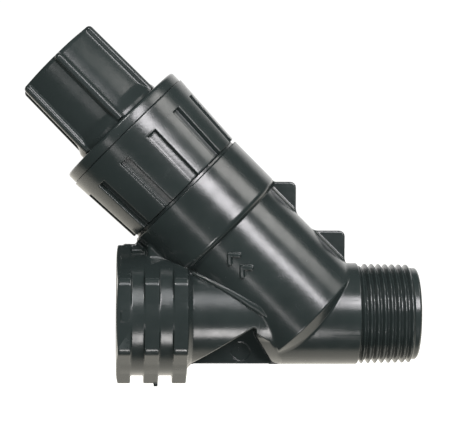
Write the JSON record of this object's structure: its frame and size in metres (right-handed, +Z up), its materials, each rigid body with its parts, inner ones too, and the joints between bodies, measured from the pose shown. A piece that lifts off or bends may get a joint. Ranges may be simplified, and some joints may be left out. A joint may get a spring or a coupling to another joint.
{
  "type": "y strainer",
  "caption": "Inline plastic Y strainer: female and male threaded pipe ends, angled branch with a slotted retaining nut, bonnet, screen and a ribbed flush cap.",
  "frame": {"origin": "centre of the female mouth, on the run axis", "axes": "+X along the run towards the male end, +Z up, the branch leaning back over the female end in the XZ plane"},
  "size_m": [0.104, 0.0388, 0.0944],
  "materials": {
    "body_plastic": "satin black injection moulded",
    "nut_plastic": "satin black injection moulded",
    "cap_plastic": "satin black injection moulded",
    "bonnet_plastic": "satin black injection moulded",
    "screen_plastic": "matt dark grey injection moulded",
    "seal_rubber": "matt black moulded rubber",
    "screen_steel": "woven stainless wire"
  },
  "bodies": {
    "body": {"y_body": "body_plastic"},
    "bonnet": {"bonnet": "bonnet_plastic", "lift_ring": "nut_plastic", "bonnet_oring": "seal_rubber", "screen_cage": "screen_plastic", "screen_mesh": "screen_steel", "screen_upper_ring": "screen_plastic", "screen_upper_seal": "seal_rubber", "screen_lower_ring": "screen_plastic", "screen_lower_seal": "seal_rubber"},
    "nut": {"retaining_nut": "nut_plastic"},
    "flush_seal": {"flush_cap_seal": "seal_rubber"},
    "flush_cap": {"flush_cap": "cap_plastic"}
  },
  "joints": [
    {"name": "bonnet_lift", "type": "slide", "parent": "body", "child": "bonnet", "axis": [-0.7071, 0, 0.7071], "range_m": [0, 0.01205]},
    {"name": "nut_turn", "type": "hinge", "parent": "bonnet", "child": "nut", "pos_m": [0.0507, 0, 0], "axis": [-0.7071, 0, 0.7071], "range_deg": [0, 1440]},
    {"name": "flush_cap_lift", "type": "slide", "parent": "bonnet", "child": "flush_seal", "axis": [-0.7071, 0, 0.7071], "range_m": [0, 0.00755]},
    {"name": "flush_cap_turn", "type": "hinge", "parent": "flush_seal", "child": "flush_cap", "pos_m": [0.0507, 0, 0], "axis": [-0.7071, 0, 0.7071], "range_deg": [0, 1080]}
  ],
  "couplings": [
    {"joint": "bonnet_lift", "follows": "nut_turn", "m_per_rad": 0.00047746},
    {"joint": "flush_cap_lift", "follows": "flush_cap_turn", "m_per_rad": 0.00039789}
  ]
}
